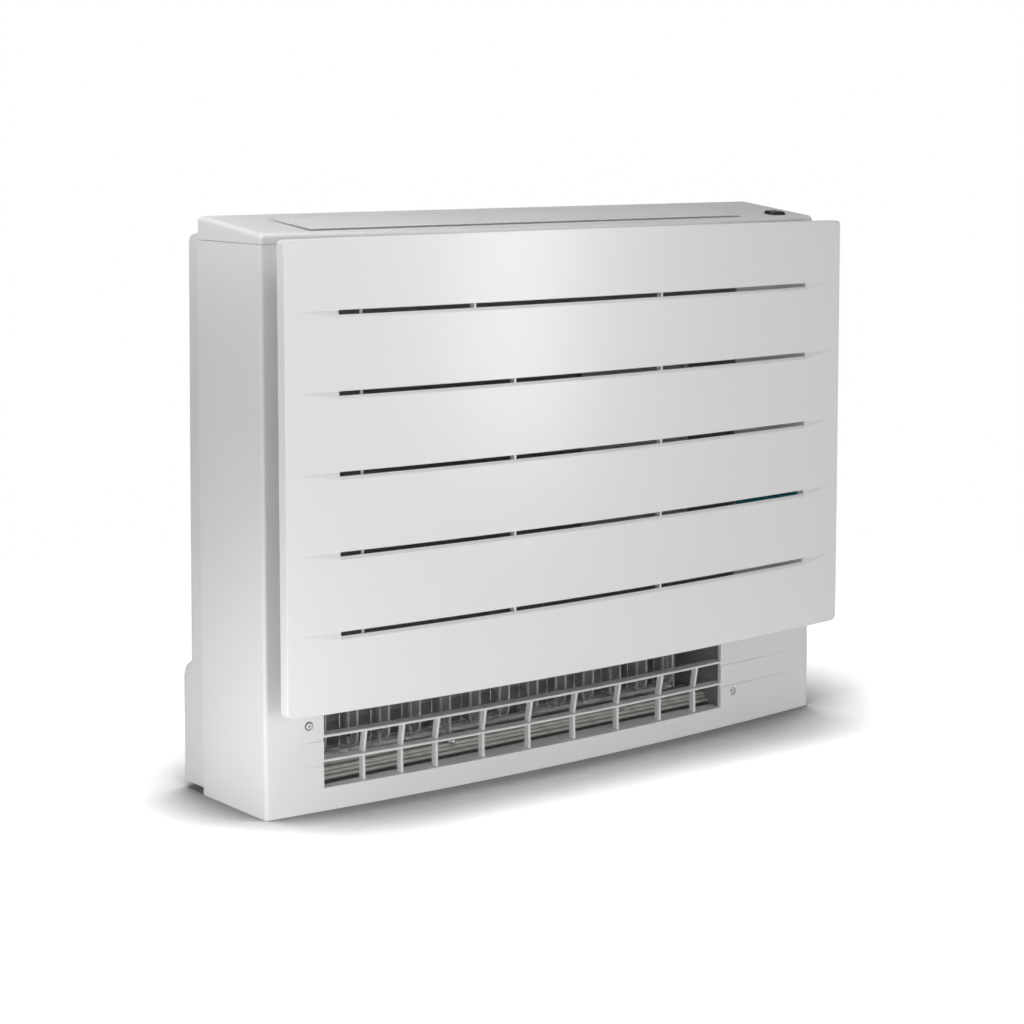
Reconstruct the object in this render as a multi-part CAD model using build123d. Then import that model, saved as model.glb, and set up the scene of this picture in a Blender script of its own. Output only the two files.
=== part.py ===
"""Floor standing air conditioner, indoor unit, built as an assembly of separate pieces.

Millimetres. The origin is the centre of the footprint at the floor, +Z up, the front faces -Y and
+X is on the right of somebody who stands in front of the unit. Every piece is drawn where it sits.
"""

from build123d import *

import os
from functools import partial
from math import asin, atan2, cos, degrees, hypot, radians, sin

# ---------------------------------------------------------------- driving dimensions
WIDTH = 750.0
DEPTH = 226.0
HEIGHT = 594.0
FRONT = -DEPTH / 2
BACK = DEPTH / 2

WALL = 2.5  # moulded covers
GAP = 0.4  # seam between two covers
LOOSE = 0.3  # space between pieces that move past each other
RUNNING = 0.06  # radial clearance of a pin in its bore

# front panel: a slotted board, bowed about an upright axis, floating ahead of the casing
PANEL_HALF = WIDTH / 2
PANEL_BOTTOM = 110.0
PANEL_TOP = 579.0
PANEL_BOW = 20.0
PANEL_SKIN = 3.0
PANEL_RIM = 12.0
PANEL_CORNER, PANEL_CORNER_LOW = 5.0, 7.0
PANEL_CROWN = 2.5
SLOT_HALF = 316.0
SLOT_HEIGHT = 4.5
SLOT_PITCH = 79.2
SLOT_COUNT = 5
SLOT_LOWEST = 188.1
SLOT_LIP = 3.2
CREASE_END = 361.0
CREASE_DEPTH = 2.2
TIE_X = (-287.0, -109.0, 89.0)
TIE_X_TOP = (-287.0, -158.5, 89.0)
TIE_SETBACK, TIE_SETBACK_LEFT, TIE_DEEP = 2.4, 7.5, 10.0  # the leftmost ties lie deeper behind the slots
HINGE_Y = -79.0
HINGE_Z = 121.0
HINGE_EAR_X = 336.0
HOOK_X, HOOK_END_Y = 352.0, -61.0
HOOK_LOW, HOOK_TOP = 543.0, 555.0
STOPPER_X, STOPPER_STEM, STOPPER_TRAVEL = 331.3, 2.2, 6.0
STOPPER_TIP_X, STOPPER_PAD_X = 343.5, 334.0
SELECTOR_X, SELECTOR_Z, SELECTOR_PAD_Y = 289.0, 122.0, -60.5
SELECTOR_STEM, SELECTOR_TRAVEL = 2.0, 4.0
PIN_R = 2.5

# casing: straight sides, bowed front
CASE_HALF = 374.0
CASE_CORNER_Y = -49.0
CASE_CREST_Y = -70.0
CASE_BACK_Y = 71.0
CASE_TOP = 570.0
CASE_EDGE_R = 4.0
FLANGE = 24.0
INTAKE_LEFT, INTAKE_RIGHT = -317.0, 242.0
INTAKE_BOTTOM, INTAKE_TOP = 138.0, 556.0
INTAKE_LIP_Y = -47.0
SIDE_LEFT, SIDE_RIGHT = 250.0, 342.0
SIDE_BOTTOM, SIDE_TOP = 241.0, 289.0

# lower outlet
OUTLET_LEFT, OUTLET_RIGHT = -309.5, 221.5
OUTLET_BOTTOM, OUTLET_TOP = 23.5, 102.0
BLADE_Z = (51.0, 76.0)
BLADE_DEPTH, BLADE_RISE, BLADE_THICK = 11.0, 1.0, 2.6
SILL_BACK_Y, SILL_RISE = -46.0, 2.0
MOUTH_WALL_DEPTH = 5.0
RIB_X = (-261.0, -216.5, -174.5, -116.0, -56.0, 5.0, 67.0, 130.0, 184.0)
RIB_THICK = 3.0
CASE_CREASE_RIGHT, CASE_CREASE_LEFT = 341.0, -345.0
SCREW_X, SCREW_Z = -326.0, 89.0
RECESS_X, RECESS_Z, RECESS_R = 242.0, 39.0, 5.0

# cap: a lid that rises towards the back
CAP_FRONT_Z = 581.0
CAP_EDGE_R = 6.0
CAP_TILT = degrees(atan2(HEIGHT - CAP_FRONT_Z, CASE_BACK_Y - CASE_CORNER_Y - CAP_EDGE_R))
FLAP_LEFT, FLAP_RIGHT = -312.5, 268.0
FLAP_FRONT_Y, FLAP_BACK_Y = -41.0, 36.0
FLAP_THICK = 5.0
FLAP_PROUD, FLAP_PROUD_FRONT = 0.6, 1.8
FLAP_LIP, FLAP_UNDERCUT = 0.8, 3.0  # skin that overhangs the board's front and ends
FLAP_SIDE_GAP, FLAP_FRONT_GAP = 1.8, 1.3
WELL_EDGE = 1.5
FLAP_AXIS_Y, FLAP_AXIS_DOWN = 29.5, 5.2
FLAP_SPINDLE_R = 1.5
SKIRT_DROP = 22.0
RIDGE_RISE = 0.9
DISPLAY_X, DISPLAY_Y = 330.0, -30.0
DISPLAY_SIZE_X, DISPLAY_SIZE_Y = 24.0, 19.0
DISPLAY_DOME, DISPLAY_DOME_R = 3.4, 2.8
BUTTON_X, BUTTON_R = DISPLAY_X + 5.0, 3.0

# rear frame
REAR_HALF = 372.0
REAR_TOP = 576.0
REAR_TOP_Y, REAR_LOW_Y = 91.0, 97.0
BULGE_TOP = 134.0
BULGE_R = 16.0
REAR_BOTTOM = 6.0
REAR_RIB_X = (-320.0, -268.0, 182.0, 230.0)

# fan
FAN_X, FAN_Z = -40.0, 335.0
FAN_R = 158.0
FAN_FRONT_Y, FAN_BACK_Y = 6.0, 60.5
FAN_BLADES = 9
SHAFT_R = 4.0
MOTOR_R = 46.0

# lower duct, vanes and flaps
DUCT_LEFT, DUCT_RIGHT = -313.0, 225.0
DUCT_FRONT_Y = -44.0
CHEEK_FRONT_LEFT, CHEEK_FRONT_RIGHT = -50.0, -55.0  # the cheeks stop short of the bowed front
DUCT_WALL = 2.0
VANE_FIRST_X, VANE_PITCH, VANE_COUNT = -298.0, 38.8, 13
VANE_SPLIT = 7
VANE_DRIVERS = (4, 10)
VANE_AXIS_Y = -24.0
VANE_LINK_R = 14.0
VANE_BOTTOM, VANE_TOP = 52.0, 103.0
VANE_PIN_R = 1.5
LOWER_FLAP_Y, LOWER_FLAP_Z = -28.0, 33.5
DAMPER_Y, DAMPER_Z = 4.0, 35.5
SPINDLE_R = 2.0

# heat exchanger
COIL_LEFT, COIL_RIGHT = -305.0, 219.0
COIL_FRONT, COIL_BACK = -40.0, -14.0
COIL_BOTTOM, COIL_TOP = 136.0, 552.0
TUBE_ROWS = 16
SHEET = 1.5  # folded steel sheet
GAS_R, LIQUID_R, DRAIN_R = 4.76, 3.18, 9.0
GAS_LANE, GAS_END = 247.0, (281.0, 6.0, 36.0)
LIQUID_LANE, LIQUID_END = 237.0, (313.0, 20.0, 36.0)
NUT_THREAD_DEPTH, NUT_HEIGHT = 11.0, 20.0
GAS_NUT_R, GAS_THREAD_R = 12.7, 7.94  # hexagon's corner radius and thread radius
LIQUID_NUT_R, LIQUID_THREAD_R = 9.8, 5.56
DRAIN_X, DRAIN_Y, DRAIN_Z = -336.0, -20.0, 126.0
PIPE_WAY = (258.0, 342.0)
TRAY_LEFT, TRAY_RIGHT = 258.0, 355.0  # electrical tray

# ---------------------------------------------------------------- helpers
def block(x0, x1, y0, y1, z0, z1):
    """Box between two corners."""
    return Pos((x0 + x1) / 2, (y0 + y1) / 2, (z0 + z1) / 2) * Box(x1 - x0, y1 - y0, z1 - z0)


def rod(axis, radius, start, end, a, b):
    """Cylinder along X, Y or Z from start to end; a and b are its other two coordinates."""
    body = Cylinder(radius, end - start)
    middle = (start + end) / 2
    if axis == "X":
        return Pos(middle, a, b) * Rot(0, 90, 0) * body
    if axis == "Y":
        return Pos(a, middle, b) * Rot(90, 0, 0) * body
    return Pos(a, b, middle) * body


def prism_x(points, x0, x1):
    """Polygon of (y, z) points, drawn out along X."""
    outline = Polyline(*[(x0, y, z) for y, z in points], close=True)
    return extrude(make_face(outline), amount=x1 - x0, dir=(1, 0, 0))


def prism_z(points, z0, z1):
    """Polygon of (x, y) points, drawn out along Z."""
    outline = Polyline(*[(x, y, z0) for x, y in points], close=True)
    return extrude(make_face(outline), amount=z1 - z0, dir=(0, 0, 1))


def arc_radius(half, bow):
    """Radius of the arc that rises by bow over a chord of twice half."""
    return (half * half + bow * bow) / (2 * bow)


PANEL_ARC_R = arc_radius(PANEL_HALF, PANEL_BOW)
CASE_BOW = CASE_CORNER_Y - CASE_CREST_Y
CASE_ARC_R = arc_radius(CASE_HALF, CASE_BOW)


def panel_y(x):
    """Y of the panel's front surface at x."""
    return FRONT + PANEL_ARC_R - (PANEL_ARC_R**2 - x * x) ** 0.5


def case_y(x):
    """Y of the casing's front surface at x."""
    return CASE_CREST_Y + CASE_ARC_R - (CASE_ARC_R**2 - x * x) ** 0.5


def swung(points, crest_y, arc_r, half):
    """Profile of (y, z) points turned about the upright axis of a bowed front, out to x = half."""
    outline = make_face(Polyline(*[(0, y, z) for y, z in points], close=True))
    upright = Axis((0, crest_y + arc_r, 0), (0, 0, 1))
    angle = degrees(asin(half / arc_r))
    return revolve(outline, upright, 2 * angle).rotate(upright, -angle)


def plan_prism(half, corner_y, crest_y, back_y, z0, z1):
    """Upright prism whose plan has straight sides and back and a bowed front."""
    sides = Polyline((half, corner_y, z0), (half, back_y, z0), (-half, back_y, z0), (-half, corner_y, z0))
    front = ThreePointArc((-half, corner_y, z0), (0, crest_y, z0), (half, corner_y, z0))
    return extrude(make_face(sides + front), amount=z1 - z0, dir=(0, 0, 1))


def inset_plan(inset, back_y, z0, z1):
    """The casing's plan drawn in by a wall, open towards the back."""
    half = CASE_HALF - inset
    return plan_prism(half, case_y(half) + inset, CASE_CREST_Y + inset, back_y, z0, z1)


def tilted(shape):
    """Turn a shape drawn level at the cap's front height into the cap's slope."""
    level = Pos(0, -CASE_CORNER_Y, -CAP_FRONT_Z)
    return level.inverse() * Rot(CAP_TILT, 0, 0) * level * shape


def ring_plate(axis_x, axis_z, outer, inner, y0, y1):
    """Flat ring across the fan's axis."""
    return rod("Y", outer, y0, y1, axis_x, axis_z) - rod("Y", inner, y0 - 1, y1 + 1, axis_x, axis_z)


def rear_inner_y(z):
    """Y of the rear frame's inner surface at height z, above its bulge."""
    share = (z - BULGE_TOP - 2) / (REAR_TOP - 9 - BULGE_TOP - 2)
    return REAR_LOW_Y + (REAR_TOP_Y - REAR_LOW_Y) * share - WALL


def ahead_of(a, b, c):
    """Slab of the space on the front side of the plane through three points."""
    normal = (Vector(*b) - Vector(*a)).cross(Vector(*c) - Vector(*a)).normalized()
    outward = normal if normal.Y < 0 else -normal
    return Plane(origin=a, z_dir=outward) * Pos(0, 0, 20) * Box(200, 200, 40)


# ---------------------------------------------------------------- covers
def front_panel():
    """Bowed board with five long slots, a turned-in rim, short ties and hinge ears."""
    slab = swung(
        [(FRONT, PANEL_BOTTOM - 5), (FRONT + PANEL_RIM, PANEL_BOTTOM - 5),
         (FRONT + PANEL_RIM, PANEL_TOP + 5), (FRONT, PANEL_TOP + 5)], FRONT, PANEL_ARC_R, PANEL_HALF + 5)
    crown = ThreePointArc(
        (-PANEL_HALF, FRONT - 5, PANEL_TOP - PANEL_CROWN), (0, FRONT - 5, PANEL_TOP),
        (PANEL_HALF, FRONT - 5, PANEL_TOP - PANEL_CROWN))
    rest = Polyline(
        (PANEL_HALF, FRONT - 5, PANEL_TOP - PANEL_CROWN), (PANEL_HALF, FRONT - 5, PANEL_BOTTOM),
        (-PANEL_HALF, FRONT - 5, PANEL_BOTTOM), (-PANEL_HALF, FRONT - 5, PANEL_TOP - PANEL_CROWN))
    outline = extrude(make_face(crown + rest), amount=DEPTH / 2, dir=(0, 1, 0))
    outline = fillet(outline.edges().filter_by(Axis.Y).sort_by(Axis.Z)[:2], PANEL_CORNER_LOW)
    outline = fillet(outline.edges().filter_by(Axis.Y).sort_by(Axis.Z)[-2:], PANEL_CORNER)
    body = slab & outline
    front_face = body.faces().sort_by(Axis.Y)[0]
    body = fillet(front_face.edges(), 1.2)
    hollow_low = PANEL_BOTTOM + PANEL_SKIN
    hollow_top = PANEL_TOP - PANEL_CROWN - PANEL_SKIN
    body -= swung(
        [(FRONT + PANEL_SKIN, hollow_low), (FRONT + 30, hollow_low), (FRONT + 30, hollow_top),
         (FRONT + PANEL_SKIN, hollow_top)], FRONT, PANEL_ARC_R, PANEL_HALF - PANEL_SKIN)
    half_slot = SLOT_HEIGHT / 2
    cuts = []
    ties = []
    for row in range(SLOT_COUNT):
        z = SLOT_LOWEST + row * SLOT_PITCH
        cuts.append(swung(
            [(FRONT - 1, z - half_slot - SLOT_LIP - 1), (FRONT + SLOT_LIP - 0.4, z - half_slot),
             (FRONT + 5, z - half_slot), (FRONT + 5, z + half_slot), (FRONT + 1.2, z + half_slot),
             (FRONT - 1, z + half_slot + 1.1)], FRONT, PANEL_ARC_R, SLOT_HALF))
        for side in (-1, 1):
            start = side * (SLOT_HALF - 0.5)
            end = side * CREASE_END
            low, top = z - half_slot - SLOT_LIP, z + half_slot
            cuts.append(ahead_of(
                (start, panel_y(SLOT_HALF) + CREASE_DEPTH, top), (start, panel_y(SLOT_HALF), low),
                (end, panel_y(CREASE_END), top)) & block(*sorted((start, end)), FRONT - 5, 0, low - 2, top))
        for x in TIE_X_TOP if row == SLOT_COUNT - 1 else TIE_X:
            back = panel_y(x)
            near = back + (TIE_SETBACK_LEFT if x == TIE_X[0] else TIE_SETBACK)
            far = back + TIE_DEEP
            ties.append(block(x - 1.0, x + 1.0, near, far, z - 11, z + 11))
            if near > back + PANEL_SKIN:
                ties += [block(x - 1.0, x + 1.0, back + 2.4, far, z + a, z + a + 4) for a in (-11, 7)]
    body = body - cuts + ties
    for side in (-1, 1):
        ear = prism_x(
            [(panel_y(HINGE_EAR_X) + 1.5, HINGE_Z - 9), (HINGE_Y, HINGE_Z - 5.5), (HINGE_Y + 5.5, HINGE_Z),
             (HINGE_Y, HINGE_Z + 5.5), (panel_y(HINGE_EAR_X) + 1.5, HINGE_Z + 11)], -2.5, 2.5)
        body += Pos(side * HINGE_EAR_X, 0, 0) * ear
        body -= rod("X", PIN_R + RUNNING, side * HINGE_EAR_X - 4, side * HINGE_EAR_X + 4, HINGE_Y, HINGE_Z)
    return body


def panel_hooks():
    """Two hooks on the back of the panel, near its top corners, that the stoppers catch."""
    behind = swung(
        [(FRONT + PANEL_SKIN, HOOK_LOW - 5), (HOOK_END_Y + 5, HOOK_LOW - 5), (HOOK_END_Y + 5, HOOK_TOP + 5),
         (FRONT + PANEL_SKIN, HOOK_TOP + 5)], FRONT, PANEL_ARC_R, PANEL_HALF - PANEL_SKIN)
    hooks = []
    for side in (-1, 1):
        x = side * HOOK_X
        tip = x - side * 6
        arm = block(x - 1.5, x + 1.5, FRONT, HOOK_END_Y, HOOK_LOW, HOOK_TOP)
        tooth = block(min(x, tip), max(x, tip), HOOK_END_Y - 2, HOOK_END_Y, HOOK_LOW, HOOK_TOP)
        hooks.append((arm & behind) + tooth)
    return hooks


def outlet_grille_members():
    """Two level blades, nine upright ribs, the sloped sill and the mouth's walls."""
    parts = []
    for z in BLADE_Z:
        low = z - BLADE_THICK / 2
        top = z + BLADE_THICK / 2
        back = CASE_CREST_Y + BLADE_DEPTH
        parts.append(swung(
            [(CASE_CREST_Y + 0.7, low), (CASE_CREST_Y, low + 0.7), (CASE_CREST_Y, top - 0.7),
             (CASE_CREST_Y + 0.7, top), (back, top + BLADE_RISE),
             (back, low + BLADE_RISE + 0.6)], CASE_CREST_Y, CASE_ARC_R, CASE_HALF - 40))
    parts.append(swung(
        [(CASE_CREST_Y + 0.8, OUTLET_BOTTOM - 3), (CASE_CREST_Y, OUTLET_BOTTOM - 2.5),
         (CASE_CREST_Y + 0.6, OUTLET_BOTTOM), (SILL_BACK_Y + 2, OUTLET_BOTTOM + SILL_RISE),
         (SILL_BACK_Y + 2, OUTLET_BOTTOM + SILL_RISE - WALL)], CASE_CREST_Y, CASE_ARC_R, CASE_HALF - 40))
    frame = block(OUTLET_LEFT - 1, OUTLET_RIGHT + 1, CASE_CREST_Y - 1, SILL_BACK_Y, 10, 120)
    members = [frame & part for part in parts]
    for x in RIB_X:
        face = case_y(x)
        members.append(prism_x(
            [(face + 5, OUTLET_BOTTOM), (face + 5.5, BLADE_Z[0]), (face + 0.6, BLADE_Z[1]),
             (face + 7.5, BLADE_Z[1] + 1.2), (face + 12, BLADE_Z[0] + 2), (face + 12, OUTLET_BOTTOM)],
            x - RIB_THICK / 2, x + RIB_THICK / 2))
    for x0, x1 in ((OUTLET_LEFT - 2.5, OUTLET_LEFT), (OUTLET_RIGHT, OUTLET_RIGHT + 2.5)):
        face = case_y(x0)
        members.append(block(x0, x1, face + 1, face + MOUTH_WALL_DEPTH, OUTLET_BOTTOM - 2, OUTLET_TOP + 2))
    return members


def front_casing():
    """Sides and bowed front in one shell, with the intake window and the moulded outlet grille."""
    outer = plan_prism(CASE_HALF, CASE_CORNER_Y, CASE_CREST_Y, CASE_BACK_Y, 0, CASE_TOP)
    corners = outer.edges().filter_by(Axis.Z).filter_by(lambda e: e.center().Y < 0)
    outer = fillet(corners, CASE_EDGE_R)
    shell = outer - inset_plan(WALL, CASE_BACK_Y + 5, WALL, CASE_TOP + 5)
    inner_half = CASE_HALF - FLANGE
    shell -= block(-inner_half, inner_half, CASE_CREST_Y + FLANGE, CASE_BACK_Y + 5, -1, WALL + 1)
    intake = block(INTAKE_LEFT, INTAKE_RIGHT, CASE_CREST_Y - 5, 0, INTAKE_BOTTOM, INTAKE_TOP)
    outlet = block(OUTLET_LEFT, OUTLET_RIGHT, CASE_CREST_Y - 5, SILL_BACK_Y + 1, OUTLET_BOTTOM, OUTLET_TOP)
    side_window = block(SIDE_LEFT, SIDE_RIGHT, CASE_CREST_Y - 5, 0, SIDE_BOTTOM, SIDE_TOP)
    shell = shell - intake - outlet - side_window
    lip = block(INTAKE_LEFT - 2, INTAKE_RIGHT + 2, CASE_CREST_Y + 1, INTAKE_LIP_Y,
                INTAKE_BOTTOM - 2, INTAKE_TOP + 2)
    lip = (lip & plan_prism(CASE_HALF, CASE_CORNER_Y, CASE_CREST_Y, 0, 0, CASE_TOP)) - intake
    shell = shell + lip + outlet_grille_members()
    # the blade lines run on as creases that fade out over the face
    for z in BLADE_Z:
        ends = ((OUTLET_RIGHT - 0.5, CASE_CREASE_RIGHT), (OUTLET_LEFT + 0.5, CASE_CREASE_LEFT))
        for start, end in ends:
            shell -= prism_z(
                [(start, case_y(start) + 1.1), (end, case_y(end) - 0.05), (end, CASE_CREST_Y - 5),
                 (start, CASE_CREST_Y - 5)], z - BLADE_THICK / 2 - 3.2, z - BLADE_THICK / 2)
    # fixing screws: one fitted at the left, one bare recess at the right
    shell += rod("Y", 6.5, case_y(SCREW_X) + 1, -48, SCREW_X, SCREW_Z)
    shell -= rod("Y", 2.0, -75, -40, SCREW_X, SCREW_Z)
    shell -= rod("Y", 4.6, -75, case_y(SCREW_X) + 0.9, SCREW_X, SCREW_Z)
    shell += rod("Y", 6.5, case_y(RECESS_X) + 1, -48, RECESS_X, RECESS_Z)
    shell -= rod("Y", RECESS_R, -75, case_y(RECESS_X) + 5, RECESS_X, RECESS_Z)
    shell -= rod("Y", 2.0, -75, -40, RECESS_X, RECESS_Z)
    for side in (-1, 1):
        for shift in (-5.6, 5.6):
            x = side * HINGE_EAR_X + shift
            ear = prism_x(
                [(case_y(HINGE_EAR_X) + 1.5, HINGE_Z - 12), (HINGE_Y, HINGE_Z - 5.5),
                 (HINGE_Y - 4.5, HINGE_Z), (HINGE_Y, HINGE_Z + 5.5),
                 (case_y(HINGE_EAR_X) + 1.5, HINGE_Z + 12)], x - 2, x + 2)
            shell += ear
            shell -= rod("X", PIN_R, x - 3, x + 3, HINGE_Y, HINGE_Z)
        pad = block(side * STOPPER_PAD_X - 15, side * STOPPER_PAD_X + 15, -58, -50, 536, 562)
        shell += pad
        near = side * (STOPPER_X - STOPPER_STEM - 0.6)
        far = side * (STOPPER_X + STOPPER_TRAVEL + STOPPER_STEM + 0.6)
        shell -= block(min(near, far), max(near, far), -59, -40, 544.6, 553.4)
    shell += block(SELECTOR_X - 10, SELECTOR_X + 14, SELECTOR_PAD_Y, -52, SELECTOR_Z - 7, SELECTOR_Z + 7)
    slot_left = SELECTOR_X - SELECTOR_STEM - 0.5
    slot_right = SELECTOR_X + SELECTOR_TRAVEL + SELECTOR_STEM + 0.5
    shell -= block(slot_left, slot_right, -70, -40, SELECTOR_Z - 2.1, SELECTOR_Z + 2.1)
    return shell


def cap_solid(inset, low):
    """The lid's outer form, or a smaller one drawn in by a wall."""
    half = CASE_HALF - inset
    corner_y = case_y(half) + inset
    column = plan_prism(half, corner_y, CASE_CREST_Y + inset, CASE_BACK_Y - inset, low, HEIGHT + 20)
    if inset == 0:
        column = fillet(column.edges().filter_by(Axis.Z), CASE_EDGE_R)
    above = tilted(block(-400, 400, -200, 200, CAP_FRONT_Z - inset, CAP_FRONT_Z + 80))
    return column - above


def top_cap():
    """Lid with a rounded rim, the flap's well, a raised ridge round it and the display's seat."""
    low = CASE_TOP + GAP
    outer = cap_solid(0, low)
    rim = outer.faces().sort_by(Axis.Z)[-1].edges()
    outer = fillet(rim, CAP_EDGE_R)
    body = outer - cap_solid(WALL, low - 5)
    tongue = inset_plan(WALL + LOOSE, CASE_BACK_Y - 3, CASE_TOP - 6, low + 2)
    tongue += inset_plan(WALL - 1, CASE_BACK_Y - 1, low + 0.6, low + 2)
    body += tongue - inset_plan(WALL + 1.8, CASE_BACK_Y + 3, CASE_TOP - 7, low + 3)
    ridge = block(FLAP_LEFT + 6, FLAP_RIGHT + 5, FLAP_FRONT_Y - 6, FLAP_BACK_Y + 5,
                  CAP_FRONT_Z - 1, CAP_FRONT_Z + RIDGE_RISE)
    ridge -= block(-400, FLAP_RIGHT + 2, -200, FLAP_BACK_Y + 2, CAP_FRONT_Z - 2, CAP_FRONT_Z + 2)
    body += tilted(ridge)
    skirt = block(FLAP_LEFT - 2, FLAP_RIGHT + 2, FLAP_FRONT_Y - 2, FLAP_BACK_Y + 2,
                  CAP_FRONT_Z - SKIRT_DROP, CAP_FRONT_Z - 1)
    body += tilted(skirt)
    well = block(FLAP_LEFT, FLAP_RIGHT, FLAP_FRONT_Y, FLAP_BACK_Y, CAP_FRONT_Z - 40, CAP_FRONT_Z + 5)
    body -= tilted(well)
    # bevel along the well's front and left edges
    bevel = WELL_EDGE * 2**0.5
    middle_x, middle_y = (FLAP_LEFT + FLAP_RIGHT) / 2, (FLAP_FRONT_Y + FLAP_BACK_Y) / 2
    front_edge = Pos(middle_x, FLAP_FRONT_Y, CAP_FRONT_Z) * Rot(45, 0, 0)
    body -= tilted(front_edge * Box(FLAP_RIGHT - FLAP_LEFT, bevel, bevel))
    left_edge = Pos(FLAP_LEFT, middle_y, CAP_FRONT_Z) * Rot(0, 45, 0)
    body -= tilted(left_edge * Box(bevel, FLAP_BACK_Y - FLAP_FRONT_Y, bevel))
    axis_z = CAP_FRONT_Z - FLAP_AXIS_DOWN
    for x0, x1 in ((FLAP_LEFT - 5, FLAP_LEFT), (FLAP_RIGHT, FLAP_RIGHT + 5)):
        body += tilted(rod("X", 5, x0, x1, FLAP_AXIS_Y, axis_z - 1.5))
        body -= tilted(rod("X", FLAP_SPINDLE_R + RUNNING, x0 - 1, x1 + 1, FLAP_AXIS_Y, axis_z))
    body -= tilted(display_outline(0.15, -3.2, 5))
    return body


def display_outline(grow, low, high):
    """Round-ended upright plug for the display's seat, drawn level."""
    end_r = DISPLAY_SIZE_Y / 2 + grow - 2.5
    plan = RectangleRounded(DISPLAY_SIZE_X + 2 * grow, DISPLAY_SIZE_Y + 2 * grow, end_r)
    return Pos(DISPLAY_X, DISPLAY_Y, CAP_FRONT_Z + low) * extrude(plan, amount=high - low)


def display_window():
    """Dark domed lens, seated in the cap."""
    lens = display_outline(0, -3.0, DISPLAY_DOME)
    lens = fillet(lens.faces().sort_by(Axis.Z)[-1].edges(), DISPLAY_DOME_R)
    lens -= rod("Z", BUTTON_R + 0.35, CAP_FRONT_Z - 5, CAP_FRONT_Z + 6, BUTTON_X, DISPLAY_Y)
    return tilted(lens)


def power_button():
    """Round key with a collar that keeps it under the lens."""
    key = rod("Z", BUTTON_R, CAP_FRONT_Z - 6, CAP_FRONT_Z + DISPLAY_DOME + 0.5, BUTTON_X, DISPLAY_Y)
    key = fillet(key.edges().sort_by(Axis.Z)[-1], 0.5)
    collar = rod("Z", BUTTON_R + 1.2, CAP_FRONT_Z - 5.4, CAP_FRONT_Z - 4.0, BUTTON_X, DISPLAY_Y)
    return tilted(key + collar)


def display_board():
    """Circuit board under the lens with its receiver, lamps and push switch."""
    low = CAP_FRONT_Z - 11.5
    board = block(DISPLAY_X - 24, DISPLAY_X + 22, DISPLAY_Y - 14, DISPLAY_Y + 22, low, low + 1.6)
    parts = [rod("Z", 1.5, low + 1.5, low + 6.5, DISPLAY_X - 9 + 5 * i, DISPLAY_Y + 6) for i in range(3)]
    parts.append(block(BUTTON_X - 3, BUTTON_X + 3, DISPLAY_Y - 3, DISPLAY_Y + 3, low + 1.5, low + 4.2))
    parts.append(block(DISPLAY_X - 12, DISPLAY_X - 6, DISPLAY_Y - 7, DISPLAY_Y - 2, low + 1.5, low + 7))
    return tilted(board + parts)


def upper_flap():
    """Board that closes the top outlet, hinged near its rear edge, under an overhanging skin."""
    top = CAP_FRONT_Z + FLAP_PROUD
    crest = CAP_FRONT_Z + FLAP_PROUD_FRONT
    low = top - FLAP_THICK - 1.3
    x0, x1 = FLAP_LEFT + FLAP_SIDE_GAP, FLAP_RIGHT - FLAP_SIDE_GAP
    y0, y1 = FLAP_FRONT_Y + FLAP_FRONT_GAP, FLAP_BACK_Y - 1.3
    skin = prism_x(
        [(y0, crest - 0.5), (y0 + 0.4, crest), (y1 - 3.2, top), (y1 - 2.3, top - FLAP_LIP),
         (y0 + 0.3, crest - FLAP_LIP)], x0, x1)
    board = prism_x(
        [(y0 + FLAP_UNDERCUT, crest - 0.4), (y1 - 3.2, top - 0.2), (y1, top - 2.5), (y1 - 0.6, low),
         (y1 - 12, low - 0.7), (y0 + 14, top - 3.8), (y0 + FLAP_UNDERCUT, crest - 2.6)],
        x0 + FLAP_UNDERCUT, x1 - FLAP_UNDERCUT)
    ribs = [block(x, x + 2, y0 + 8, y1 - 6, top - 8.5, top - 2) for x in (-240, -140, -40, 60, 160)]
    axis_z = CAP_FRONT_Z - FLAP_AXIS_DOWN
    spindle = rod("X", FLAP_SPINDLE_R, FLAP_LEFT - 4.6, x0 + 8, FLAP_AXIS_Y, axis_z)
    drive = rod("X", FLAP_SPINDLE_R, x1 - 8, FLAP_RIGHT + 12, FLAP_AXIS_Y, axis_z)
    return tilted(board + skin + ribs + spindle + drive)


def rear_profile(inset):
    """Side outline of the rear frame: a thin upper back and a rounded lower bulge."""
    front_y = CASE_BACK_Y if inset == 0 else CASE_BACK_Y - 10
    low = REAR_BOTTOM + inset
    top = REAR_TOP - inset
    bulge = BACK - inset
    upper = REAR_TOP_Y - inset
    lower = REAR_LOW_Y - inset
    shoulder = BULGE_TOP - inset * 0.4
    return [(front_y, low), (bulge, low), (bulge, shoulder - BULGE_R),
            (bulge - BULGE_R * 0.3, shoulder - BULGE_R * 0.3), (lower, BULGE_TOP + 2 - inset * 0.6),
            (upper, top - 9), (upper - 3.0, top - 2.6), (upper - 10, top), (front_y, top)]


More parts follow.
